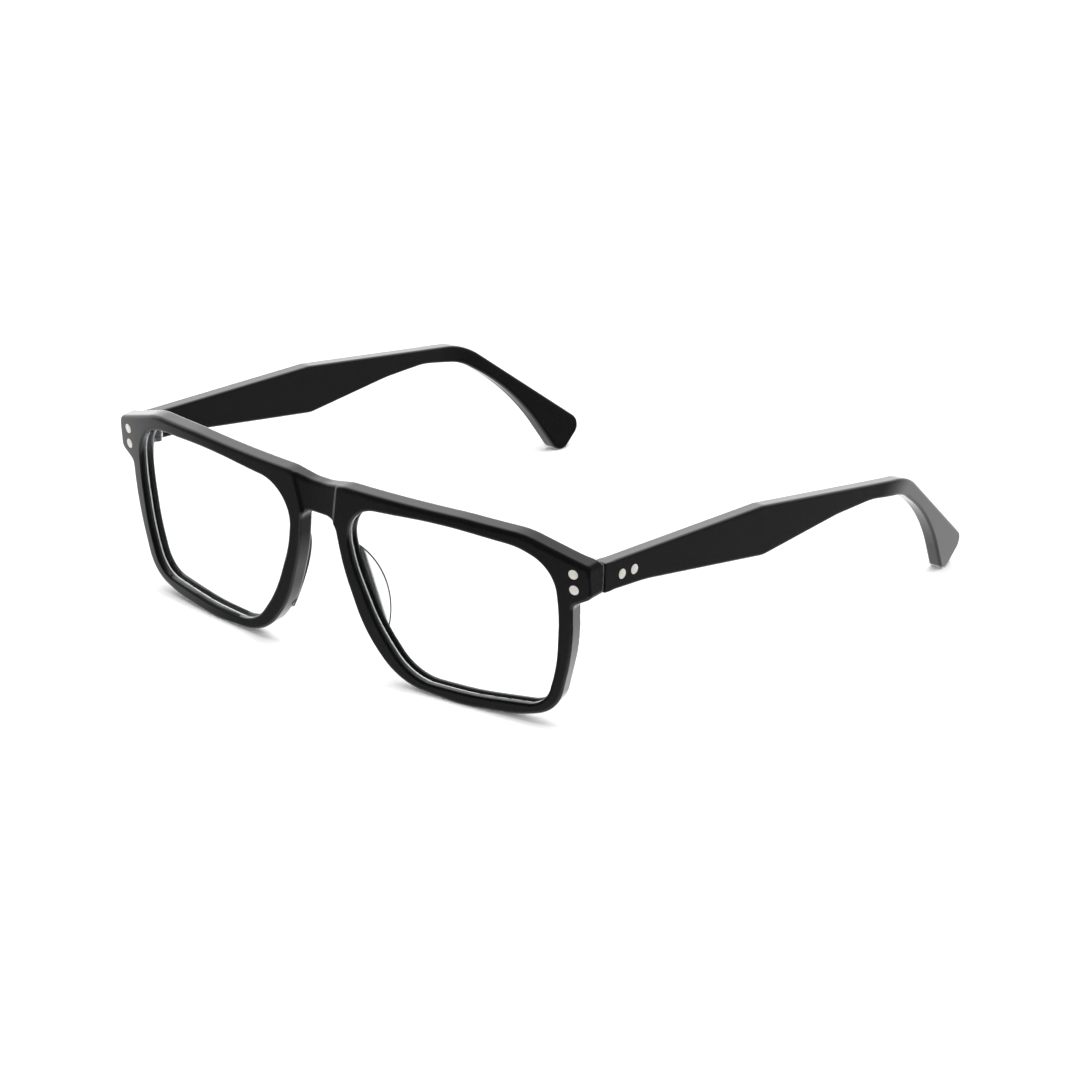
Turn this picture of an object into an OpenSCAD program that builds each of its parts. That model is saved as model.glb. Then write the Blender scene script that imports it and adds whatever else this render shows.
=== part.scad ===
// Full-rim eyeglasses frame with folding temples, standing on its rims and temple tips.
// Millimetres. X to the wearer's left, Y from the front towards the ears, Z up.

/* [Front] */
// overall width of the front over both endpieces
front_w = 142; // [137:1:147]
// front-to-back thickness of the rims
rim_depth = 4.2; // [3.8:0.1:5]
// radius the front is wrapped to, seen from above
wrap_r = 275; // [250:1:300]
// angle the front leans forward at the top when standing
lean = 7; // [6:0.5:8]
// depth of the step that sets the bridge back from the rims
bridge_step = 0.7; // [0.5:0.1:1]

/* [Lenses] */
// thickness of the clear lenses
lens_t = 1.6; // [1.2:0.1:2]
// distance from the rim face to the lens face
lens_set = 1.3; // [1:0.1:1.5]
// how far the lens edge reaches into the rim groove
groove = 0.6; // [0.4:0.1:0.8]

/* [Nose pads] */
// length of each pad along the rim
pad_len = 23; // [20:0.5:24]
// how far each pad stands behind the rim
pad_out = 4.4; // [3.5:0.1:5]
// pad thickness
pad_t = 2.2; // [1.8:0.1:2.6]

/* [Temples] */
// thickness of the temples
temple_t = 3.6; // [3.3:0.1:4]
// angle the ear end turns inwards
tip_turn = 11.4; // [9:0.2:14]
// gap between endpiece and temple end when open
joint_gap = 0.25; // [0.2:0.05:0.4]

/* [Hinges] */
// radius of the hinge knuckles
knuckle_r = 1.4; // [1.2:0.05:1.5]
// radius of the hinge screw shank
screw_r = 0.6; // [0.5:0.05:0.7]
// radius of the visible rivet discs
rivet_r = 1.15; // [1:0.05:1.3]

/* [Hidden] */
$fn = 64;
k = front_w / 142;
half_w = front_w / 2;
// angle covered by one straight stretch of a rounded corner
arc_step = 7;
// how far a cutting shape runs past the face it cuts
over = 1;
// height of the front's own origin, which puts the rims on the ground
front_drop = 1.042;
// half of the overall depth, which centres the object on Y
y_mid = 74.1;

// plane behind the endpieces and the hinge axis
joint_y = 9.5;
temple_y = joint_y + joint_gap;
temple_in = half_w - temple_t;
axis_off = knuckle_r + 0.3;
axis_x = temple_in - axis_off;
axis_y = joint_y + axis_off;
end_in = 64.6 * k;
end_low = 30.6;
end_high = 39.9;

// angles round the wrap at which the lens openings and the outer rim sides are cut square
eye_turn = asin(36 * k / wrap_r);
side_turn = asin(66 * k / wrap_r);
side_top = 30.4;
// bridge step: half width at its middle height, how much the sides close in downwards,
// and how far they spread per depth
bridge_half = 5.6 * k;
bridge_v = 42;
bridge_slant = 11.7;
bridge_wall = 0.7;

// hinge leaves: five knuckles, three on the front and two on the temple
knuckles = 5;
knuckle_h = 0.9;
knuckle_gap = 0.12;
knuckle_pitch = knuckle_h + knuckle_gap;
hinge_h = knuckles * knuckle_h + (knuckles - 1) * knuckle_gap;
hinge_z = 34;
run_fit = 0.05;
plate_t = 0.9;
front_plate_w = 5;
temple_plate_len = 12.4;
temple_plate_h = 4.4;
screw_head_r = 1.15;
screw_head_h = 0.55;
slot_w = 0.3;
slot_depth = 0.25;

rivet_head_h = 0.7;
rivet_pin_r = 0.6;
rivet_proud = 0.05;
front_rivet_x = 67.3 * k;
front_rivet_v = [38.5, 34.8];
temple_rivet_y = [15.6, 19.7];
temple_rivet_z = 36.2;

// outer edge of the front, wearer's left half: x, height on the front, corner radius
edge = [
  [0, 45.5, 0], [2.2, 45.5, 14], [8.4, 46.6, 14], [40, 46.6, 90], [55.4, 45.8, 20],
  [71, 40.4, 1.4], [70.9, 33, 1.6], [66.6, 30.8, 1.6], [66.1, 19.8, 60], [61.7, 4.3, 9],
  [52.1, 1.6, 30], [37.6, 0.6, 40], [20.6, 2.2, 17], [11.6, 12.6, 30], [6.6, 26.8, 50],
  [4.9, 37.85, 3.4], [0, 37.85, 0]
];
// lens opening, wearer's left
eye = [
  [7.3, 42.2, 9], [35, 44.1, 120], [54, 42.6, 15], [62.6, 39.1, 9.5], [63.3, 28, 50],
  [62.1, 15.9, 40], [58.8, 5.2, 7], [40, 3.7, 90], [23.7, 3.8, 13], [15.3, 14.6, 40], [10, 27.3, 30]
];
// temple seen from the side: y, z, corner radius
arm = [
  [temple_y, 33.2, 0.5], [24, 32.6, 60], [65.1, 27.3, 9], [92, 30, 60], [105.2, 30.3, 25],
  [118.3, 28.1, 16], [134.4, 17.9, 60], [147.3, -1.62, 3], [155.4, 6, 3],
  [119.8, 32.2, 20], [103, 34.3, 100], [64.7, 39.2, 10], [temple_y, 39.9, 0.5]
];
// start of the inward turn at the ear, and the slope of the tip it turns across
turn_y = 114;
turn_z = 30.5;
tip_slope = 42;
// nose pad: ends of the line along the rim that carries it
pad_x = 10.9 * k;
pad_v = 20.8;
pad_lie = 18;
pad_splay = 18;
pad_sink = 0.4;

function unit(a) = a / norm(a);
function xy(p) = [p[0], p[1]];
function at(p, i) = p[(i + len(p)) % len(p)];

// points of one rounded corner b between its neighbours a and c
function corner(a, b, c, r) =
  let (u = unit(a - b), w = unit(c - b), half = acos(u * w) / 2,
       mid = b + unit(u + w) * r / sin(half),
       from = b + u * r / tan(half) - mid, to = b + w * r / tan(half) - mid,
       start = atan2(from[1], from[0]),
       span = atan2(from[0] * to[1] - from[1] * to[0], from * to),
       n = max(1, ceil(abs(span) / arc_step)))
  [for (i = [0:n]) mid + r * [cos(start + span * i / n), sin(start + span * i / n)]];

// closed outline with every corner rounded to its own radius
function rounded(p) = [
  for (i = [0:len(p) - 1])
    for (q = p[i][2] == 0 ? [xy(p[i])]
                          : corner(xy(at(p, i - 1)), xy(p[i]), xy(at(p, i + 1)), p[i][2])) q
];

// the same closed clockwise outline moved outwards by g
function grown(p, g) = [
  for (i = [0:len(p) - 1])
    let (a = unit(xy(p[i]) - xy(at(p, i - 1))), b = unit(xy(at(p, i + 1)) - xy(p[i])),
         na = [-a[1], a[0]], nb = [-b[1], b[0]], q = xy(p[i]) + (na + nb) * g / (1 + na * nb))
    [q[0], q[1], p[i][2] + g]
];

// face points seen square to the wrap at an angle a round it
function turned(p, a) = [for (q = p) [wrap_r * sin(asin(q[0] / wrap_r) - a), q[1]]];

function widened(p) = [for (q = p) [q[0] * k, q[1], q[2]]];

module wearer_left(on) {
  if (on) children();
  else mirror([1, 0, 0]) children();
}

// centres the whole object on the ground plane
module set_down() {
  translate([0, -y_mid, 0]) children();
}

// from the front's own frame (x, depth, height) to the standing object
module stand_front() {
  set_down() translate([0, 0, -front_drop]) rotate([lean, 0, 0]) children();
}

// turns a flat outline (x, height) into a block running back from in front of the face
module slab_from(points) {
  translate([0, 40, 0]) rotate([90, 0, 0]) linear_extrude(height = 50) polygon(points);
}

// curved layer of the wrapped front between two depths behind its face
module wrap_layer(near, far) {
  translate([0, wrap_r, -5]) difference() {
    cylinder(r = wrap_r - near, h = 60, $fn = 360);
    translate([0, 0, -over]) cylinder(r = wrap_r - far, h = 60 + 2 * over, $fn = 360);
  }
}

// the same block, running back square to the wrap at an angle a round it
module slab_square(points, a) {
  translate([0, wrap_r, 0]) rotate([0, 0, a]) translate([0, -wrap_r, 0])
    slab_from(turned(points, a));
}

module eye_slab(g) {
  slab_square(rounded(grown(widened(eye), g)), eye_turn);
}

// what is left off behind the outer side of a rim, below the endpiece
module side_offcut() {
  far = 90;
  low = -9;
  clear = 0.12;
  outer = [for (i = [7:10]) [edge[i][0] + clear, edge[i][1], edge[i][2]]];
  points = [
    [outer[0][0], side_top, 0], outer[1], outer[2], [outer[3][0], outer[3][1], 0],
    [outer[3][0], low, 0], [far, low, 0], [far, side_top, 0]
  ];
  slab_square(rounded(widened(points)), side_turn);
}

module lens_left_raw() {
  intersection() {
    eye_slab(groove);
    wrap_layer(lens_set, lens_set + lens_t);
  }
}

// solid of one front rivet: a disc flush with the face and a pin behind it
module front_rivet_raw(v) {
  turn = asin(front_rivet_x / wrap_r);
  translate([0, wrap_r, v]) rotate([0, 0, turn]) translate([0, -wrap_r - rivet_proud, 0])
    rotate([-90, 0, 0]) {
      cylinder(r = rivet_r, h = rivet_head_h + rivet_proud);
      cylinder(r = rivet_pin_r, h = 8);
    }
}

// everything on or behind the front face of the front hinge plate
module behind_plate() {
  translate([end_in - 5, joint_y - plate_t, 20]) cube([20, 20, 40]);
}

module front_rivet(v) {
  difference() {
    stand_front() front_rivet_raw(v);
    set_down() behind_plate();
  }
}

module front_plate_block() {
  translate([end_in + 0.1, joint_y - plate_t, hinge_z - 0.3])
    cube([front_plate_w, plate_t, hinge_h + 0.6]);
}

// clear pad: a slice of a thin round-edged disc standing up behind the nose side of the rim
module pad_raw() {
  disc_r = (pow(pad_len / 2, 2) + pow(pad_out, 2)) / (2 * pad_out);
  foot = rim_depth + pow(pad_x, 2) / (2 * wrap_r) - pad_sink;
  intersection() {
    translate([pad_x, foot, pad_v]) rotate([0, -pad_lie, 0]) rotate([0, 0, -pad_splay])
      translate([0, pad_out - disc_r, 0]) rotate([0, 90, 0]) rotate_extrude($fn = 96) {
        translate([0, -pad_t / 2]) square([disc_r - pad_t / 2, pad_t]);
        translate([disc_r - pad_t / 2, 0]) circle(r = pad_t / 2, $fn = 32);
      }
    translate([0, foot, 0]) cube([40, 30, 60]);
  }
}

// level block behind the face that carries the hinge, before it is trimmed to the outline
module endpiece_block() {
  rotate([-lean, 0, 0]) translate([end_in, -10, end_low + front_drop])
    cube([half_w - end_in, joint_y + 10, end_high - end_low]);
}

module front_solid() {
  other_edge = [for (i = [len(edge) - 2:-1:1]) [-edge[i][0], edge[i][1], edge[i][2]]];
  intersection() {
    union() {
      wrap_layer(0, rim_depth);
      for (left = [true, false]) wearer_left(left) endpiece_block();
    }
    slab_from(rounded(widened(concat(edge, other_edge))));
    translate([0, wrap_r, -5]) cylinder(r = wrap_r, h = 60, $fn = 360);
  }
}

// half of the step in front of the bridge, with its wall on the wearer's left
module bridge_side() {
  translate([bridge_half, 0, bridge_v]) rotate([0, bridge_slant, 0]) translate([0, 0, -20])
    linear_extrude(height = 40)
      polygon([
        [-15, -3], [3 * bridge_wall, -3], [-bridge_step * bridge_wall, bridge_step],
        [-15, bridge_step]
      ]);
}

module bridge_cut() {
  intersection() {
    wearer_left(true) bridge_side();
    wearer_left(false) bridge_side();
  }
}

module front_frame() {
  color("#101012") difference() {
    stand_front() difference() {
      front_solid();
      bridge_cut();
      for (left = [true, false]) wearer_left(left) {
        side_offcut();
        eye_slab(0);
        lens_left_raw();
        pad_raw();
        for (v = front_rivet_v) front_rivet_raw(v);
      }
    }
    for (left = [true, false]) set_down() wearer_left(left) front_plate_block();
  }
}

module lens(left) {
  color("#dfe8ee", 0.35) stand_front() wearer_left(left) lens_left_raw();
}

module nose_pad(left) {
  color("#e9edf0", 0.6) stand_front() wearer_left(left) pad_raw();
}

// one knuckle with its web; turn 0 points the web forwards, 90 points it outwards
module knuckle(level, turn, bore) {
  web_w = 1.8;
  translate([axis_x, axis_y, hinge_z + level * knuckle_pitch]) rotate([0, 0, turn])
    difference() {
      union() {
        cylinder(r = knuckle_r, h = knuckle_h);
        translate([-web_w / 2, -axis_off - 0.3, 0]) cube([web_w, axis_off + 0.3, knuckle_h]);
      }
      translate([0, 0, -over]) cylinder(r = bore, h = knuckle_h + 2 * over);
    }
}

module front_hinge_leaf(left) {
  color("#c9ccd0") set_down() wearer_left(left) {
    front_plate_block();
    for (level = [0:2:knuckles - 1]) knuckle(level, 0, screw_r);
  }
}

module temple_plate() {
  translate([temple_in, joint_y + 1, temple_rivet_z + 0.7 - temple_plate_h / 2])
    cube([plate_t, temple_plate_len, temple_plate_h]);
}

module temple_hinge_leaf(left) {
  color("#c9ccd0") set_down() wearer_left(left) {
    temple_plate();
    for (level = [1:2:knuckles - 1]) knuckle(level, 90, screw_r + run_fit);
  }
}

module hinge_screw(left) {
  top = hinge_z + hinge_h;
  color("#d8dadd") set_down() wearer_left(left) translate([axis_x, axis_y, 0]) difference() {
    union() {
      translate([0, 0, hinge_z]) cylinder(r = screw_r, h = hinge_h);
      translate([0, 0, top]) cylinder(r = screw_head_r, h = screw_head_h);
    }
    translate([-2, -slot_w / 2, top + screw_head_h - slot_depth]) cube([4, slot_w, over]);
  }
}

// solid of one temple rivet: a disc flush with the outer face and a pin to the plate
module temple_rivet_raw(y) {
  pin_len = temple_t - plate_t + rivet_proud;
  translate([half_w + rivet_proud, y, temple_rivet_z]) rotate([0, -90, 0]) {
    cylinder(r = rivet_r, h = rivet_head_h + rivet_proud);
    cylinder(r = rivet_pin_r, h = pin_len);
  }
}

// strip seen along the ear end: straight, then turned inwards behind the ear bend
module turned_strip() {
  far = 60;
  drift = far * tan(tip_turn);
  strip = [
    [temple_in, -160, 0], [half_w, -160, 0], [half_w, 0, 45],
    [half_w - drift, far, 0], [temple_in - drift, far, 0], [temple_in, 0, 45]
  ];
  translate([0, turn_y, turn_z]) rotate([-tip_slope, 0, 0]) translate([0, 0, -90])
    linear_extrude(height = 180) polygon(rounded(strip));
}

module temple(left) {
  color("#101012") set_down() wearer_left(left) difference() {
    intersection() {
      translate([half_w - 30, 0, 0]) rotate([90, 0, 90]) linear_extrude(height = 40)
        polygon(rounded(arm));
      turned_strip();
    }
    temple_plate();
    for (y = temple_rivet_y) temple_rivet_raw(y);
  }
}

module front_pin(v, left) {
  color("#d8d4cc") wearer_left(left) front_rivet(v);
}

module temple_pin(y, left) {
  color("#d8d4cc") set_down() wearer_left(left) temple_rivet_raw(y);
}

front_frame();
lens(false);  // lens_right
lens(true);  // lens_left
nose_pad(false);  // nose_pad_right
nose_pad(true);  // nose_pad_left
front_hinge_leaf(false);  // front_hinge_leaf_right
front_hinge_leaf(true);  // front_hinge_leaf_left
front_pin(front_rivet_v[0], false);  // front_rivet_upper_right
front_pin(front_rivet_v[1], false);  // front_rivet_lower_right
front_pin(front_rivet_v[0], true);  // front_rivet_upper_left
front_pin(front_rivet_v[1], true);  // front_rivet_lower_left
hinge_screw(false);  // hinge_screw_right
hinge_screw(true);  // hinge_screw_left
temple(false);  // temple_right
temple(true);  // temple_left
temple_hinge_leaf(false);  // temple_hinge_leaf_right
temple_hinge_leaf(true);  // temple_hinge_leaf_left
temple_pin(temple_rivet_y[0], false);  // temple_rivet_front_right
temple_pin(temple_rivet_y[1], false);  // temple_rivet_rear_right
temple_pin(temple_rivet_y[0], true);  // temple_rivet_front_left
temple_pin(temple_rivet_y[1], true);  // temple_rivet_rear_left
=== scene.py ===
"""Looks of the eyeglasses frame: polished acetate front and temples, clear lenses and pads, steel hinges.

Shapes are worked out in the millimetres of the CAD model and turned into metres by to_row(). The acetate
and the pads are skins of signed distance fields, so that every edge has its own small radius.
"""

import itertools
import math

import bpy
import numpy as np
from mathutils import Matrix, Vector


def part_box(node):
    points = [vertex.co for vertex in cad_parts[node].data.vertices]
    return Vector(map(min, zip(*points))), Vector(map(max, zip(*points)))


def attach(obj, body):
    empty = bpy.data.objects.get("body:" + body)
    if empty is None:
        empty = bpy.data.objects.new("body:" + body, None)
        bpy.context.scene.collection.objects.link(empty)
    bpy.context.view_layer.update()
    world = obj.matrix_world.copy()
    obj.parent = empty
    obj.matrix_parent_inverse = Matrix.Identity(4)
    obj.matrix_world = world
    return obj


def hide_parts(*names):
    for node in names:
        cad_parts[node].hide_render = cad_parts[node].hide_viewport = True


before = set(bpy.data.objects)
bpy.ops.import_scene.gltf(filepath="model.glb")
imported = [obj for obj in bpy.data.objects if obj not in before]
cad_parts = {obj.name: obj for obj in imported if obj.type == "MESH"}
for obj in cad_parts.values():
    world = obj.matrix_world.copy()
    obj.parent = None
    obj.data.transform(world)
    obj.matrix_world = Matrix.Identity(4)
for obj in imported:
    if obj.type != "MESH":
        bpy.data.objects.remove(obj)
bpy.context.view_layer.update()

MM = 0.001

# the front, as in the CAD model
HALF_W = 71.0
RIM_DEPTH = 4.2
WRAP_R = 275.0
LEAN = math.radians(7)
FRONT_DROP = 1.042
BRIDGE_STEP = 0.7
BRIDGE_HALF, BRIDGE_V, BRIDGE_SLANT, BRIDGE_WALL = 5.6, 42.0, math.radians(11.7), 0.5
EYE_TURN, SIDE_TURN = math.asin(36 / WRAP_R), math.asin(66 / WRAP_R)
SIDE_TOP = 30.4
LENS_SET = 1.3
LENS_T = 1.6
GROOVE = 0.6
END_IN = 64.6
END_LOW, END_HIGH = 30.6, 39.9
JOINT_Y = 9.5

# the temples, as in the CAD model
TEMPLE_T = 3.6
TEMPLE_Y = 9.75
TIP_TURN = math.radians(11.4)
TURN_Y, TURN_Z = 114.0, 30.5
TURN_R = 45.0
TIP_SLOPE = math.radians(42)

# radii of the polished edges, and how far the metal plates stand proud of the acetate
FACE_EDGE = 0.42
TOP_EDGE = 0.9
BRIDGE_DIP = 0.35
BRIDGE_CREASE, BRIDGE_EDGE = 0.2, 0.4
BLOCK_EDGE, BLOCK_CREASE = 0.4, 0.9
EYE_EDGE = 0.32
BACK_EDGE = 0.6
EYE_BACK_EDGE = 0.85
JOINT_EDGE = 0.09
TEMPLE_EDGE = 0.6
PROUD = 0.04
RIVET_PROUD = 0.05
# where the painted dark in a pad's foot, standing in for the black rim refracted there, fades: behind the
# rim's back, and up from the front's own origin
PAINTED_REFRACTION_DEPTHS, PAINTED_REFRACTION_HEIGHTS = (0.3, 0.9), (12.5, 14.5)

# fineness of the skins
STEP = 0.25

# where the whole CAD model was moved on Y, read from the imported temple
SHIFT_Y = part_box("temple_left")[0].y / MM - TEMPLE_Y

# outer edge of the front from the middle to the side and back: x, height, corner radius
EDGE_CORNERS = [
    (0, 45.5, 0), (2.2, 45.5, 14), (8.4, 46.6, 14), (40, 46.6, 90), (55.4, 45.8, 20), (71, 40.4, 1.4),
    (70.9, 33, 1.6), (66.6, 30.8, 1.6), (66.1, 19.8, 60), (61.7, 4.3, 9), (52.1, 1.6, 30), (37.6, 0.6, 40),
    (20.6, 2.2, 17), (11.6, 12.6, 30), (6.6, 26.8, 50), (4.9, 37.85, 3.4), (0, 37.85, 0),
]
EYE_CORNERS = [
    (7.3, 42.2, 9), (35, 44.1, 120), (54, 42.6, 15), (62.6, 39.1, 9.5), (63.3, 28, 50), (62.1, 15.9, 40),
    (58.8, 5.2, 7), (40, 3.7, 90), (23.7, 3.8, 13), (15.3, 14.6, 40), (10, 27.3, 30),
]
# temple from the side: y, z, corner radius
ARM_CORNERS = [
    (TEMPLE_Y, 33.2, 0.5), (24, 32.6, 60), (65.1, 27.3, 9), (92, 30, 60), (105.2, 30.3, 25),
    (118.3, 28.1, 16), (134.4, 17.9, 60), (147.3, -1.62, 3), (155.4, 6, 3), (119.8, 32.2, 20),
    (103, 34.3, 100), (64.7, 39.2, 10), (TEMPLE_Y, 39.9, 0.5),
]


# ---------------------------------------------------------------- outlines and fields


class Outline:
    """Straight stretches joined by arcs, from corners (u, v, radius). An open one ends on the line u = 0."""

    def __init__(self, corners, closed=True):
        self.arcs = []
        self.lines = []
        self.sharp = []
        count = len(corners)
        points = [np.array(c[:2], float) for c in corners]
        ends = []
        for i, (corner, b) in enumerate(zip(corners, points)):
            before, after = points[i - 1], points[(i + 1) % count]
            if corner[2] == 0:
                ends.append((b, b))
                continue
            to_before = (before - b) / np.linalg.norm(before - b)
            to_after = (after - b) / np.linalg.norm(after - b)
            half = math.acos(np.clip(to_before @ to_after, -1, 1)) / 2
            reach = corner[2] / math.tan(half)
            bisector = (to_before + to_after) / np.linalg.norm(to_before + to_after)
            start, stop = b + to_before * reach, b + to_after * reach
            centre = b + bisector * corner[2] / math.sin(half)
            self.arcs.append((centre, corner[2], start, to_before, stop, to_after))
            ends.append((start, stop))
        for i in range(count if closed else count - 1):
            self.lines.append((ends[i][1], ends[(i + 1) % count][0]))
            self.sharp.append((points[i], points[(i + 1) % count]))

    def distance(self, u, v):
        """Signed distance of the points (u, v), negative inside."""
        u, v = np.broadcast_arrays(np.asarray(u, float), np.asarray(v, float))
        inside = np.zeros(u.shape, bool)
        for (au, av), (bu, bv) in self.sharp:
            if av != bv:
                inside ^= ((av > v) != (bv > v)) & (u - au < (v - av) * (bu - au) / (bv - av))
        best = np.full(u.shape, np.inf)
        for (au, av), (bu, bv) in self.lines:
            eu, ev = bu - au, bv - av
            du, dv = u - au, v - av
            t = np.clip((du * eu + dv * ev) / max(eu * eu + ev * ev, 1e-12), 0, 1)
            best = np.minimum(best, np.hypot(du - t * eu, dv - t * ev))
        for middle, radius, start, back, stop, on in self.arcs:
            du, dv = u - middle[0], v - middle[1]
            from_middle = np.hypot(du, dv)
            facing = (du * back[0] + dv * back[1] < 0) & (du * on[0] + dv * on[1] < 0)
            best = np.where(facing, np.minimum(best, np.abs(from_middle - radius)), best)
            to_start, to_stop = middle - start, middle - stop
            in_corner = ((u - start[0]) * to_start[0] + (v - start[1]) * to_start[1] > 0) & (
                (u - stop[0]) * to_stop[0] + (v - stop[1]) * to_stop[1] > 0
            )
            inside ^= facing & in_corner & (from_middle > radius)
        return np.where(inside, -best, best)

    def points(self, grow=0.0, spacing=0.5):
        """Points along a closed outline moved outwards by grow, about one spacing apart."""
        found = []
        arcs = {tuple(a[2]): a for a in self.arcs}
        for line_start, line_stop in self.lines:
            length = np.linalg.norm(line_stop - line_start)
            along = (line_stop - line_start) / length
            outward = np.array([-along[1], along[0]])
            for share in np.arange(0, 1, 1 / max(1, round(length / spacing))):
                found.append(line_start + along * length * share + outward * grow)
            middle, radius, start, _, stop, _ = arcs[tuple(line_stop)]
            a0 = math.atan2(*(start - middle)[::-1])
            a1 = math.atan2(*(stop - middle)[::-1])
            span = (a1 - a0 + math.pi) % (2 * math.pi) - math.pi
            for share in np.arange(0, 1, 1 / max(1, round(abs(span) * radius / spacing))):
                angle = a0 + span * share
                ray = np.array([math.cos(angle), math.sin(angle)])
                found.append(middle + ray * (radius + math.copysign(grow, -span)))
        return np.array(found)


def cut_round(a, b, radius):
    """Where both fields are solid, with the meeting edge rounded."""
    past = np.hypot(np.maximum(a + radius, 0), np.maximum(b + radius, 0))
    return np.minimum(np.maximum(a, b), -radius) + past


def join_round(a, b, radius):
    """Where either field is solid, with the inner corner filled by a radius."""
    return -cut_round(-a, -b, radius)


def blend(value, start, stop):
    """0 before start, 1 after stop, and smooth between them."""
    t = np.clip((value - start) / (stop - start), 0, 1)
    return t * t * (3 - 2 * t)


EDGE = Outline(EDGE_CORNERS, closed=False)
EYE = Outline(EYE_CORNERS)
ARM = Outline(ARM_CORNERS)


def wrapped_y(x, d):
    """How far back a point of the wrapped front lies, at x and a depth d behind its face."""
    return WRAP_R - np.sqrt((WRAP_R - d) ** 2 - x**2)


def seen_square(side, d, turn):
    """Where the face is met when looking along a cut that is square to the wrap at an angle round it."""
    back = WRAP_R - np.sqrt((WRAP_R - d) ** 2 - side**2)
    across = side * math.cos(turn) + (back - WRAP_R) * math.sin(turn)
    return WRAP_R * np.sin(np.arcsin(across / WRAP_R) + turn)


def front_field(x, v, d):
    """The acetate front over x, height and depth behind its face."""
    side = np.abs(x)
    edge, eye = EDGE.distance(side, v), EYE.distance(seen_square(side, d, EYE_TURN), v)
    # below the endpiece the outer side is square to the wrap
    slanted = EDGE.distance(seen_square(side, d, SIDE_TURN), v)
    below = blend(v, SIDE_TOP + 0.4, SIDE_TOP - 0.8) * blend(side, 45, 55)
    edge = np.maximum(edge, slanted + (edge - slanted) * (1 - below))
    plan = np.maximum(edge, -eye)
    by_eye = -eye > edge
    # the bridge is set back a little by a step with sloping sides, and hollowed towards its middle
    half = BRIDGE_HALF + (v - BRIDGE_V) * math.tan(BRIDGE_SLANT)
    wall = (side - half + d * BRIDGE_WALL) / math.hypot(1, BRIDGE_WALL)
    hollow = BRIDGE_STEP - BRIDGE_DIP * (side / BRIDGE_HALF) ** 2
    pocket = cut_round(wall, d - hollow, BRIDGE_CREASE)
    face = cut_round(-d, -pocket, BRIDGE_EDGE)
    # the rims are a plate, and the endpieces reach back to the joint
    height = wrapped_y(x, d) * math.sin(LEAN) + v * math.cos(LEAN) - FRONT_DROP
    joint = wrapped_y(x, d) * math.cos(LEAN) - v * math.sin(LEAN) - (JOINT_Y - PROUD)
    block = cut_round(END_IN - side, joint, BLOCK_EDGE)
    block = cut_round(block, np.maximum(height - END_HIGH, END_LOW - height), BLOCK_EDGE)
    back = join_round(d - RIM_DEPTH, block, BLOCK_CREASE)
    at_joint = blend(joint, -2.5, -1) * blend(side, END_IN - 1, END_IN)
    back_edge = np.where(by_eye, EYE_BACK_EDGE, BACK_EDGE) * (1 - at_joint) + JOINT_EDGE * at_joint
    solid = cut_round(plan, back, back_edge)
    over = FACE_EDGE + (TOP_EDGE - FACE_EDGE) * blend(v, 38, 41)
    solid = cut_round(solid, face, np.where(by_eye, EYE_EDGE, over))
    # V groove for the lens
    from_middle = np.abs(d - LENS_SET - LENS_T / 2)
    rise = GROOVE / (LENS_T / 2)
    groove = (eye + from_middle * rise - GROOVE) / math.hypot(1, rise)
    return np.maximum(solid, -groove)


def temple_field(x, y, z):
    """The wearer's left temple: its side outline, cut by two faces that turn inwards behind the ear."""
    along = (y - TURN_Y) * math.cos(TIP_SLOPE) - (z - TURN_Z) * math.sin(TIP_SLOPE)
    half_turn = TURN_R * math.tan(TIP_TURN / 2)
    share = np.clip((along + half_turn) / (2 * half_turn), 0, 1)
    drift = math.tan(TIP_TURN) * np.where(along > half_turn, along, half_turn * share**2)
    middle = HALF_W - PROUD / 2 - TEMPLE_T / 2 - drift
    faces = np.abs(x - middle) / np.hypot(1, math.tan(TIP_TURN) * share) - TEMPLE_T / 2
    radius = JOINT_EDGE + (TEMPLE_EDGE - JOINT_EDGE) * blend(y, TEMPLE_Y + 1, TEMPLE_Y + 4)
    return cut_round(ARM.distance(y, z), faces, radius)


# ---------------------------------------------------------------- meshes


def slope_of(field, points):
    """Value and gradient of a field at points."""
    nudge = 0.01
    here = field(*points.T)
    gradient = np.empty_like(points)
    for axis in range(3):
        moved = points.copy()
        moved[:, axis] += nudge
        gradient[:, axis] = (field(*moved.T) - here) / nudge
    return here, gradient


def settle(field, points, reach):
    """Moves points onto the zero level of a field, by at most reach."""
    here, gradient = slope_of(field, points)
    steepness = np.maximum((gradient**2).sum(1), 0.25)
    move = -(here / steepness)[:, None] * gradient
    length = np.linalg.norm(move, axis=1)
    return points + move * np.minimum(1, reach / np.maximum(length, 1e-9))[:, None]


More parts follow.
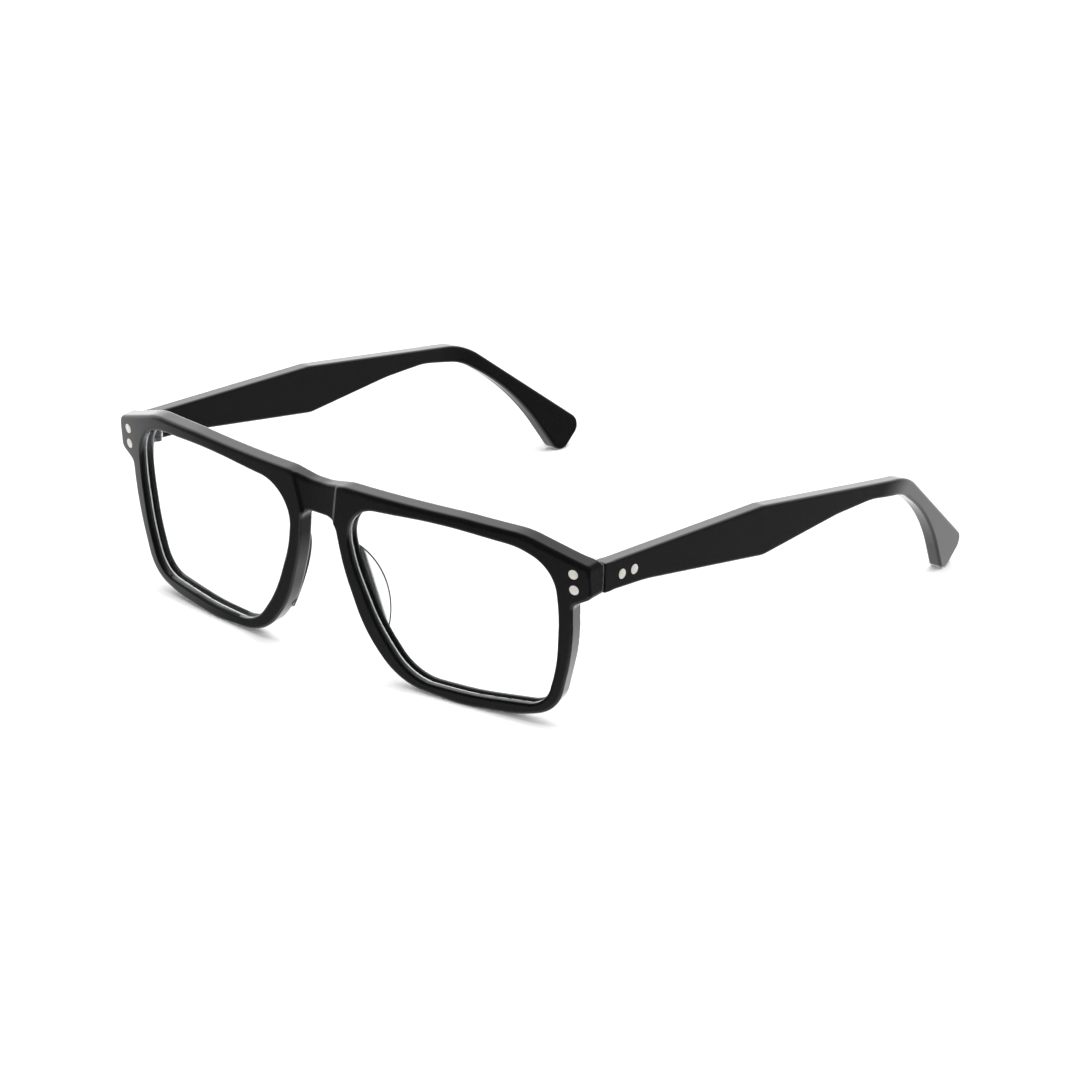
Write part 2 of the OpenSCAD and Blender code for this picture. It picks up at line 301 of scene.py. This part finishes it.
def skin(field, low, high, step):
    """Points and outward quads of the zero level of a field inside a box."""
    axes = [np.arange(lo, hi + step, step) for lo, hi in zip(low, high)]
    shape = tuple(len(a) for a in axes)
    solid = np.broadcast_to(field(*np.ix_(*axes)) < 0, shape)
    filled = np.zeros([n - 1 for n in shape], np.int8)
    for corner in itertools.product((0, 1), repeat=3):
        filled += solid[tuple(slice(c, n - 1 + c) for c, n in zip(corner, shape))]
    cells = np.argwhere((filled > 0) & (filled < 8))
    number = np.full(filled.shape, -1)
    number[tuple(cells.T)] = np.arange(len(cells))
    points = np.stack([axes[i][cells[:, i]] + step / 2 for i in range(3)], 1)
    quads = []
    for axis in range(3):
        u, w = (axis + 1) % 3, (axis + 2) % 3
        near = solid.take(np.arange(shape[axis] - 1), axis)
        far = solid.take(np.arange(1, shape[axis]), axis)
        for outwards in (True, False):
            at = np.argwhere(near & ~far if outwards else far & ~near)
            around = []
            for back_u, back_w in ((1, 1), (0, 1), (0, 0), (1, 0)):
                cell = at.copy()
                cell[:, u] -= back_u
                cell[:, w] -= back_w
                around.append(number[tuple(cell.T)])
            loop = np.stack(around, 1)
            quads.append(loop if outwards else loop[:, ::-1])
    quads = np.concatenate(quads)
    ends = np.concatenate([quads[:, [i, (i + 1) % 4]] for i in range(4)])
    links = np.bincount(ends[:, 0], minlength=len(points))[:, None]
    points = settle(field, points, step)
    for _ in range(2):
        total = np.stack([np.bincount(ends[:, 0], points[ends[:, 1], i], len(points)) for i in range(3)], 1)
        points = settle(field, (points + total / links) / 2, step)
    points = settle(field, points, step)
    # a point thrown off by a crease goes back between its neighbours
    total = np.stack([np.bincount(ends[:, 0], points[ends[:, 1], i], len(points)) for i in range(3)], 1)
    lost = np.abs(field(*points.T)) > 0.05
    points[lost] = (total / links)[lost]
    return points, quads


def to_row(points):
    """Standing millimetres of the CAD model, before it was centred on Y, to the row frame."""
    return (points + np.array([0, SHIFT_Y, 0])) * MM


def stood(x, y, v):
    """The front's own x, depth and height to the row frame, with the front leaning."""
    cos, sin = math.cos(LEAN), math.sin(LEAN)
    return to_row(np.stack([x, y * cos - v * sin, y * sin + v * cos - FRONT_DROP], 1))


def from_wrap(points):
    """Points over (x, height, depth behind the wrapped face) to the row frame."""
    x, v, d = points.T
    return stood(x, wrapped_y(x, d), v)


def flipped(points, faces):
    """The same mesh for the other side of the frame."""
    return points * np.array([-1, 1, 1]), [tuple(reversed(f)) for f in faces]


def piece(name, points, faces, materials, body, smooth=True):
    """A new mesh object that rides on a body and takes its finish from a material slot."""
    mesh = bpy.data.meshes.new(name)
    loops = faces.tolist() if isinstance(faces, np.ndarray) else faces
    mesh.from_pydata(np.asarray(points).tolist(), [], loops)
    mesh.polygons.foreach_set("use_smooth", [smooth] * len(mesh.polygons))
    for material in materials:
        mesh.materials.append(material)
    mesh.update()
    made = bpy.data.objects.new(name, mesh)
    bpy.context.scene.collection.objects.link(made)
    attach(made, body)
    return made


# ---------------------------------------------------------------- materials


class Nodes:
    """A short way to write a node material."""

    def __init__(self, name):
        self.material = bpy.data.materials.new(name)
        self.material.use_nodes = True
        self.tree = self.material.node_tree
        self.tree.nodes.clear()
        self.output = self.tree.nodes.new("ShaderNodeOutputMaterial")

    def add(self, kind, **sockets):
        """A node of a kind; capitalised names set or link its inputs, the others its properties."""
        node = self.tree.nodes.new("ShaderNode" + kind)
        for name, value in sockets.items():
            if name[0].islower():
                setattr(node, name, value)
                continue
            socket = node.inputs[name.replace("_", " ")]
            if isinstance(value, bpy.types.NodeSocket):
                self.tree.links.new(value, socket)
            else:
                socket.default_value = value
        return node

    def noise(self, place, scale, detail=3.0, roughness=0.5):
        node = self.add("TexNoise", Vector=place, Scale=scale, Detail=detail, Roughness=roughness)
        return node.outputs["Fac"]

    def spread(self, value, low, high, start=0.0, stop=1.0):
        """A value from start to stop, spread over low to high."""
        node = self.add("MapRange", Value=value)
        for socket, number in zip(("From Min", "From Max", "To Min", "To Max"), (start, stop, low, high)):
            node.inputs[socket].default_value = number
        return node.outputs["Result"]

    def tint(self, value, first, second):
        """A colour between two, by a value."""
        mix = self.add("Mix", data_type="RGBA")
        self.tree.links.new(value, mix.inputs["Factor"])
        ends = [s for s in mix.inputs if s.name in "AB" and s.type == "RGBA"]
        for socket, colour in zip(ends, (first, second)):
            socket.default_value = (*colour, 1)
        return next(s for s in mix.outputs if s.type == "RGBA")

    def stretched(self, x, y, z):
        """Object coordinates scaled by axis, for brushed and turned marks."""
        place = self.add("TexCoord").outputs["Object"]
        return self.add("Mapping", Vector=place, Scale=(x, y, z)).outputs["Vector"]

    def finish(self, shader):
        self.tree.links.new(shader, self.output.inputs["Surface"])
        return self.material


def acetate():
    """Deep black cellulose acetate, tumble polished on the faces and a little duller on the milled walls."""
    n = Nodes("black_acetate")
    place = n.stretched(1, 1, 1)
    colour = n.tint(n.noise(place, 260, 4), (0.0018, 0.0018, 0.002), (0.0036, 0.0036, 0.004))
    milled = n.add("Attribute", attribute_name="milled").outputs["Fac"]
    haze = n.spread(n.noise(place, 900, 5), -0.03, 0.03, 0.3, 0.7)
    rough = n.add("Math", operation="ADD")
    n.tree.links.new(n.spread(milled, 0.09, 0.15), rough.inputs[0])
    n.tree.links.new(haze, rough.inputs[1])
    scratches = n.noise(n.stretched(2600, 2600, 500), 1, 6, 0.6)
    bump = n.add("Bump", Height=scratches, Strength=0.02, Distance=0.00002)
    shader = n.add(
        "BsdfPrincipled", Base_Color=colour, Roughness=rough.outputs[0],
        Normal=bump.outputs["Normal"], IOR=1.42,
    )
    return n.finish(shader.outputs[0])


def steel(name, dark, light, rough, marks, metal=1.0):
    """Satin steel with brushed or turned marks; marks are the stretch of the noise along X, Y and Z."""
    n = Nodes(name)
    brushed = n.noise(n.stretched(*marks), 1, 5, 0.65)
    colour = n.tint(n.spread(brushed, 0, 1, 0.3, 0.7), dark, light)
    bump = n.add("Bump", Height=brushed, Strength=0.25, Distance=0.00002)
    shader = n.add(
        "BsdfPrincipled", Base_Color=colour, Metallic=metal, Normal=bump.outputs["Normal"],
        Roughness=n.spread(brushed, rough - 0.06, rough + 0.08, 0.3, 0.7),
    )
    return n.finish(shader.outputs[0])


def clear_lens():
    """Thin clear demo lens: seen through, with a faint gloss that has slight polishing haze."""
    n = Nodes("clear_lens")
    place = n.stretched(1, 1, 1)
    tint = n.tint(n.noise(place, 90, 2), (0.985, 0.99, 0.99), (0.995, 0.998, 0.998))
    through = n.add("BsdfTransparent", Color=tint)
    gloss = n.add("BsdfGlossy", Roughness=n.spread(n.noise(place, 700, 4), 0.01, 0.05, 0.3, 0.7))
    # only the outside of each face has a gloss, stronger at a glance
    outside = n.spread(n.add("NewGeometry").outputs["Backfacing"], 1, 0)
    glance = n.spread(n.add("LayerWeight", Blend=0.3).outputs["Facing"], 0.004, 0.09, 0.3, 1)
    share = n.add("Math", operation="MULTIPLY")
    n.tree.links.new(outside, share.inputs[0])
    n.tree.links.new(glance, share.inputs[1])
    mix = n.add("MixShader", Fac=share.outputs[0])
    n.tree.links.new(through.outputs[0], mix.inputs[1])
    n.tree.links.new(gloss.outputs[0], mix.inputs[2])
    return n.finish(mix.outputs[0])


def ground_edge():
    """The ground bevel of a lens: frosted, pale and fine grained."""
    n = Nodes("ground_edge")
    grain = n.noise(n.stretched(1, 1, 1), 5200, 4, 0.7)
    colour = n.tint(n.spread(grain, 0, 1, 0.3, 0.7), (0.42, 0.43, 0.44), (0.62, 0.63, 0.64))
    bump = n.add("Bump", Height=grain, Strength=0.4, Distance=0.00004)
    shader = n.add("BsdfPrincipled", Base_Color=colour, Roughness=0.5, Normal=bump.outputs["Normal"])
    return n.finish(shader.outputs[0])


def clear_pad():
    """Clear moulded acetate pad: bright through the middle, with a painted dark reflection round its edge
    and at its foot in place of the black rim seen in it.
    """
    n = Nodes("clear_pad")
    place = n.stretched(1, 1, 1)
    tint = n.tint(n.noise(place, 300, 3), (0.95, 0.955, 0.955), (0.985, 0.99, 0.99))
    bump = n.add("Bump", Height=n.noise(place, 1400, 3), Strength=0.05, Distance=0.00003).outputs["Normal"]
    rough = n.spread(n.noise(place, 800), 0.05, 0.12, 0.3, 0.7)
    clear = n.add("MixShader", Fac=0.04)
    n.tree.links.new(n.add("BsdfTransparent", Color=tint).outputs[0], clear.inputs[1])
    n.tree.links.new(n.add("BsdfGlossy", Roughness=rough, Normal=bump).outputs[0], clear.inputs[2])
    # painted reflection: a dark diffuse that stands in for the black rim reflected and refracted in the
    # clear pad, not the pad's own colour
    painted_reflection_tint = n.tint(n.noise(place, 500, 3), (0.025, 0.025, 0.027), (0.06, 0.06, 0.064))
    rim = n.add("BsdfDiffuse", Color=painted_reflection_tint)
    # painted dark edge where the pad is seen at a glance, in place of its real reflection and refraction
    edge = n.spread(n.add("LayerWeight", Blend=0.5).outputs["Facing"], 0, 0.97, 0.24, 0.42)
    # painted refraction: the black rim, as seen inside the foot of the pad, is painted dark down to where
    # the pad leaves it
    upright = n.add("Mapping", Vector=place, Rotation=(-LEAN, 0, 0))
    level = n.add("SeparateXYZ", Vector=upright.outputs["Vector"])
    face = (SHIFT_Y * math.cos(LEAN) - FRONT_DROP * math.sin(LEAN)) * MM
    base = (FRONT_DROP * math.cos(LEAN) + SHIFT_Y * math.sin(LEAN)) * -MM
    near, far = (face + (RIM_DEPTH + out) * MM for out in PAINTED_REFRACTION_DEPTHS)
    foot = n.spread(level.outputs["Y"], 0.97, 0, near, far)
    painted_foot_share = n.add("Math", operation="MULTIPLY")
    n.tree.links.new(foot, painted_foot_share.inputs[0])
    bottom, top = (base + height * MM for height in PAINTED_REFRACTION_HEIGHTS)
    n.tree.links.new(n.spread(level.outputs["Z"], 0, 1, bottom, top), painted_foot_share.inputs[1])
    # the painted dark is the larger of the painted edge and the painted foot
    dark = n.add("Math", operation="MAXIMUM")
    n.tree.links.new(edge, dark.inputs[0])
    n.tree.links.new(painted_foot_share.outputs[0], dark.inputs[1])
    mix = n.add("MixShader", Fac=dark.outputs[0])
    n.tree.links.new(clear.outputs[0], mix.inputs[1])
    n.tree.links.new(rim.outputs[0], mix.inputs[2])
    return n.finish(mix.outputs[0])


def paper():
    """Plain pale floor with a faint grain."""
    n = Nodes("floor_paper")
    grain = n.noise(n.stretched(1, 1, 1), 30, 3)
    shader = n.add("BsdfDiffuse", Color=n.tint(grain, (0.93, 0.93, 0.93), (0.95, 0.95, 0.95)), Roughness=0.9)
    return n.finish(shader.outputs[0])


ACETATE = acetate()
LENS = clear_lens()
GROUND = ground_edge()
PAD = clear_pad()
HINGE = steel("hinge_steel", (0.42, 0.43, 0.45), (0.7, 0.71, 0.73), 0.32, (900, 900, 6000))
SCREW = steel("screw_steel", (0.45, 0.46, 0.48), (0.74, 0.75, 0.77), 0.26, (1500, 1500, 9000))
RIVET = steel("rivet_steel", (0.6, 0.575, 0.53), (0.78, 0.75, 0.7), 0.34, (4200, 4200, 4200), 0.45)


# ---------------------------------------------------------------- the pieces


def mark_milled(made, values):
    """How much of each vertex is a milled wall, for the acetate's roughness."""
    made.data.attributes.new("milled", "FLOAT", "POINT").data.foreach_set("value", values.astype(np.float32))


def make_front():
    reach = END_IN + 8
    points, quads = skin(front_field, (-reach, -0.6, -0.6), (reach, 48.4, 9.4), STEP * 1.1)
    made = piece("front_acetate", from_wrap(points), quads, [ACETATE], "front")
    side, v, d = np.abs(points[:, 0]), points[:, 1], points[:, 2]
    walls = [
        EDGE.distance(side, v), EDGE.distance(seen_square(side, d, SIDE_TURN), v),
        EYE.distance(seen_square(side, d, EYE_TURN), v),
    ]
    mark_milled(made, 1 - blend(np.abs(walls).min(0), 0.1, 0.4))
    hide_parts("front_frame")


def make_temples():
    points, quads = skin(temple_field, (54, TEMPLE_Y - 0.6, -0.6), (HALF_W + 0.6, 154.6, 40.2), STEP)
    wall = 1 - blend(np.abs(ARM.distance(points[:, 1], points[:, 2])), 0.1, 0.4)
    for side in ("left", "right"):
        shape = to_row(points if side == "left" else points * np.array([-1, 1, 1]))
        faces = quads if side == "left" else quads[:, ::-1]
        made = piece("acetate_temple_" + side, shape, faces, [ACETATE], "temple_" + side)
        mark_milled(made, wall)
        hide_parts("temple_" + side)


def make_lenses():
    """Lenses that follow the wrap, with a ground V edge that sits in the groove."""
    land, tip = -0.02, GROOVE - 0.12
    count = len(EYE.points())
    middle = EYE.points().mean(0)
    half_t = LENS_T / 2
    rings = []

    def ring(flat, depth):
        """A closed ring of points, slanted with the opening."""
        slant = np.array([depth * math.sin(EYE_TURN), 0])
        return np.column_stack([flat - slant, np.full(len(flat), depth)])

    def inner(share, depth):
        return ring(middle + (EYE.points(land) - middle) * share, depth)

    front, back = LENS_SET + 0.02, LENS_SET + LENS_T - 0.02
    inward = np.linspace(0, 1, 14)[1:-1]
    rings += [inner(share, front) for share in inward]
    flat_edge = len(rings) + 1
    rings += [ring(EYE.points(land), front), ring(EYE.points(tip), front + half_t - 0.25)]
    rings += [ring(EYE.points(tip), back - half_t + 0.25), ring(EYE.points(land), back)]
    rings += [inner(share, back) for share in inward[::-1]]
    centres = [ring(middle[None], front), ring(middle[None], back)]
    points = np.concatenate([*rings, *centres])
    faces, slots = [], []
    for r in range(len(rings) - 1):
        for i in range(count):
            j = (i + 1) % count
            faces.append((r * count + i, r * count + j, (r + 1) * count + j, (r + 1) * count + i))
            slots.append(1 if r == flat_edge else 0)
    last = (len(rings) - 1) * count
    for i in range(count):
        j = (i + 1) % count
        faces.append((j, i, len(points) - 2))
        faces.append((last + i, last + j, len(points) - 1))
        slots += [0, 0]
    for side in ("left", "right"):
        shape = from_wrap(points)
        loops = faces
        if side == "right":
            shape, loops = flipped(shape, faces)
        made = piece("demo_lens_" + side, shape, loops, [LENS, GROUND], "front")
        made.data.polygons.foreach_set("material_index", slots)
        sharp = [len(set(slots[f] for f in fs)) > 1 for fs in edge_faces(made.data)]
        made.data.edges.foreach_set("use_edge_sharp", sharp)
        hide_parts("lens_" + side)


def edge_faces(mesh):
    """The faces on each edge of a mesh."""
    found = [[] for _ in mesh.edges]
    for polygon in mesh.polygons:
        for loop in polygon.loop_indices:
            found[mesh.loops[loop].edge_index].append(polygon.index)
    return found


def turned(name, profile, place, axis, materials, body, count=48):
    """A turned piece: a profile of (radius, height) in millimetres, spun round an axis at a place."""
    turn = Vector((0, 0, 1)).rotation_difference(Vector(axis)).to_matrix()
    points, faces = [], []
    for radius, height in profile:
        for i in range(count):
            angle = 2 * math.pi * i / count
            spot = Vector((radius * math.cos(angle), radius * math.sin(angle), height)) * MM
            points.append(turn @ spot + Vector(place))
    for r in range(len(profile) - 1):
        for i in range(count):
            j = (i + 1) % count
            faces.append((r * count + i, r * count + j, (r + 1) * count + j, (r + 1) * count + i))
    faces.append(tuple(range(count))[::-1])
    faces.append(tuple((len(profile) - 1) * count + i for i in range(count)))
    return piece(name, points, faces, materials, body)


# foot inside the acetate, rim, fine turned ring and slightly crowned middle
RIVET_PROFILE = [
    (1.12, -0.6), (1.12, 0.0), (1.1, 0.035), (1.04, 0.055), (0.82, 0.06), (0.78, 0.045), (0.74, 0.045),
    (0.7, 0.062), (0.45, 0.072), (0.15, 0.076),
]


def make_rivet(node, name, out, body):
    made = turned(name, RIVET_PROFILE, head_of(node, out), out, [RIVET], body)
    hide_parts(node)


def make_rivets():
    """Rivet heads, each at the middle of its CAD rivet's disc."""
    for side in ("left", "right"):
        sign = 1 if side == "left" else -1
        for place in ("upper", "lower"):
            node = f"front_rivet_{place}_{side}"
            turn = math.asin(front_rivet_x() / WRAP_R)
            ahead = -math.cos(turn)
            out = Vector((math.sin(turn) * sign, ahead * math.cos(LEAN), ahead * math.sin(LEAN)))
            make_rivet(node, f"rivet_head_{place}_{side}", out, "front")
        for place in ("front", "rear"):
            node = f"temple_rivet_{place}_{side}"
            out = Vector((sign, 0, 0))
            make_rivet(node, f"rivet_head_{place}_{side}", out, "temple_" + side)


def front_rivet_x():
    low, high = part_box("front_rivet_upper_left")
    return (low.x + high.x) / 2 / MM


def head_of(node, out):
    """The middle of a CAD rivet's outer face, drawn back to the acetate's face."""
    points = [v.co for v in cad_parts[node].data.vertices]
    far = max(p.dot(out) for p in points)
    face = [p for p in points if p.dot(out) > far - 0.01 * MM]
    low = Vector(min(p[i] for p in face) for i in range(3))
    high = Vector(max(p[i] for p in face) for i in range(3))
    return (low + high) / 2 - out * RIVET_PROUD * MM


def dress_cad():
    """The CAD nodes that stay get their metal and clear materials."""
    for name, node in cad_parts.items():
        material = HINGE if "leaf" in name else SCREW if "screw" in name else PAD if "pad" in name else None
        if material is None:
            continue
        node.data.materials.clear()
        node.data.materials.append(material)


# ---------------------------------------------------------------- stage, light and camera


def make_floor():
    mesh = bpy.data.meshes.new("floor")
    half = 8.0
    corners = [(-half, -half, 0), (half, -half, 0), (half, half, 0), (-half, half, 0)]
    mesh.from_pydata(corners, [], [(0, 1, 2, 3)])
    mesh.materials.append(paper())
    floor = bpy.data.objects.new("floor", mesh)
    bpy.context.scene.collection.objects.link(floor)
    floor.visible_glossy = False


CAMERA_AZIMUTH = math.radians(40.31)
CAMERA_ELEVATION = math.radians(20.22)
CAMERA_ROLL = math.radians(1.65)
CAMERA_DISTANCE = 1.014
CAMERA_LENS = 159.0
CAMERA_TARGET = (60.84, 0, 45.33)


def make_camera():
    sin_a, cos_a = math.sin(CAMERA_AZIMUTH), math.cos(CAMERA_AZIMUTH)
    sin_e, cos_e = math.sin(CAMERA_ELEVATION), math.cos(CAMERA_ELEVATION)
    forward = Vector((-sin_a * cos_e, cos_a * cos_e, -sin_e))
    level = Vector((cos_a, sin_a, 0))
    upright = level.cross(forward)
    right = level * math.cos(CAMERA_ROLL) + upright * math.sin(CAMERA_ROLL)
    up = upright * math.cos(CAMERA_ROLL) - level * math.sin(CAMERA_ROLL)
    camera = bpy.data.objects.new("camera", bpy.data.cameras.new("camera"))
    camera.data.lens = CAMERA_LENS
    camera.data.sensor_width = 36
    camera.data.clip_start = 0.01
    turn = Matrix((right, up, -forward)).transposed().to_4x4()
    target = Vector(to_row(np.array([CAMERA_TARGET]))[0])
    camera.matrix_world = Matrix.Translation(target - forward * CAMERA_DISTANCE) @ turn
    bpy.context.scene.collection.objects.link(camera)
    bpy.context.scene.camera = camera


def make_light():
    """A dim studio that brightens towards the white background, and soft boxes that light the floor."""
    world = bpy.data.worlds.new("studio")
    bpy.context.scene.world = world
    world.use_nodes = True
    tree = world.node_tree
    tree.nodes.clear()
    place = tree.nodes.new("ShaderNodeTexCoord")
    back = tree.nodes.new("ShaderNodeVectorMath")
    back.operation = "DOT_PRODUCT"
    back.inputs[1].default_value = (-math.sin(CAMERA_AZIMUTH), math.cos(CAMERA_AZIMUTH), 0)
    ramp = tree.nodes.new("ShaderNodeValToRGB")
    stops = [
        (0.0, 0.06), (0.35, 0.08), (0.42, 0.2), (0.5, 0.25),
        (0.6, 0.28), (0.67, 0.8), (0.74, 1.5), (1.0, 2.1),
    ]
    while len(ramp.color_ramp.elements) < len(stops):
        ramp.color_ramp.elements.new(0.5)
    for element, (at, level) in zip(ramp.color_ramp.elements, stops):
        element.position = at
        element.color = (level / 3, level / 3, level / 3, 1)
    spread = tree.nodes.new("ShaderNodeMapRange")
    spread.inputs["From Min"].default_value = -1
    background = tree.nodes.new("ShaderNodeBackground")
    background.inputs["Strength"].default_value = 3
    output = tree.nodes.new("ShaderNodeOutputWorld")
    tree.links.new(place.outputs["Generated"], back.inputs[0])
    tree.links.new(back.outputs["Value"], spread.inputs["Value"])
    tree.links.new(spread.outputs["Result"], ramp.inputs["Fac"])
    # steeply downwards it is as bright as the floor
    down = tree.nodes.new("ShaderNodeMapRange")
    for socket, number in zip(("From Min", "From Max"), (-0.5, -0.72)):
        down.inputs[socket].default_value = number
    mix = tree.nodes.new("ShaderNodeMix")
    mix.data_type = "RGBA"
    colours = [socket for socket in mix.inputs if socket.type == "RGBA"]
    colours[1].default_value = (0.4, 0.4, 0.4, 1)
    parts = tree.nodes.new("ShaderNodeSeparateXYZ")
    tree.links.new(place.outputs["Generated"], parts.inputs[0])
    tree.links.new(parts.outputs["Z"], down.inputs["Value"])
    tree.links.new(down.outputs["Result"], mix.inputs["Factor"])
    tree.links.new(ramp.outputs["Color"], colours[0])
    mixed = next(socket for socket in mix.outputs if socket.type == "RGBA")
    tree.links.new(mixed, background.inputs["Color"])
    tree.links.new(background.outputs[0], output.inputs["Surface"])
    for name, place, size, power in (
        ("top_box", (0.0, 0.2, 1.1), 1.6, 26),
        ("front_box", (0.9, -1.1, 0.8), 1.0, 10),
    ):
        light = bpy.data.objects.new(name, bpy.data.lights.new(name, "AREA"))
        light.data.size = size
        light.data.energy = power
        light.location = place
        light.rotation_euler = (-Vector(place)).to_track_quat("-Z", "Y").to_euler()
        light.visible_glossy = False
        bpy.context.scene.collection.objects.link(light)
    bpy.context.scene.view_settings.view_transform = "Standard"


make_camera()
make_front()
make_temples()
make_lenses()
make_rivets()
dress_cad()
make_floor()
make_light()
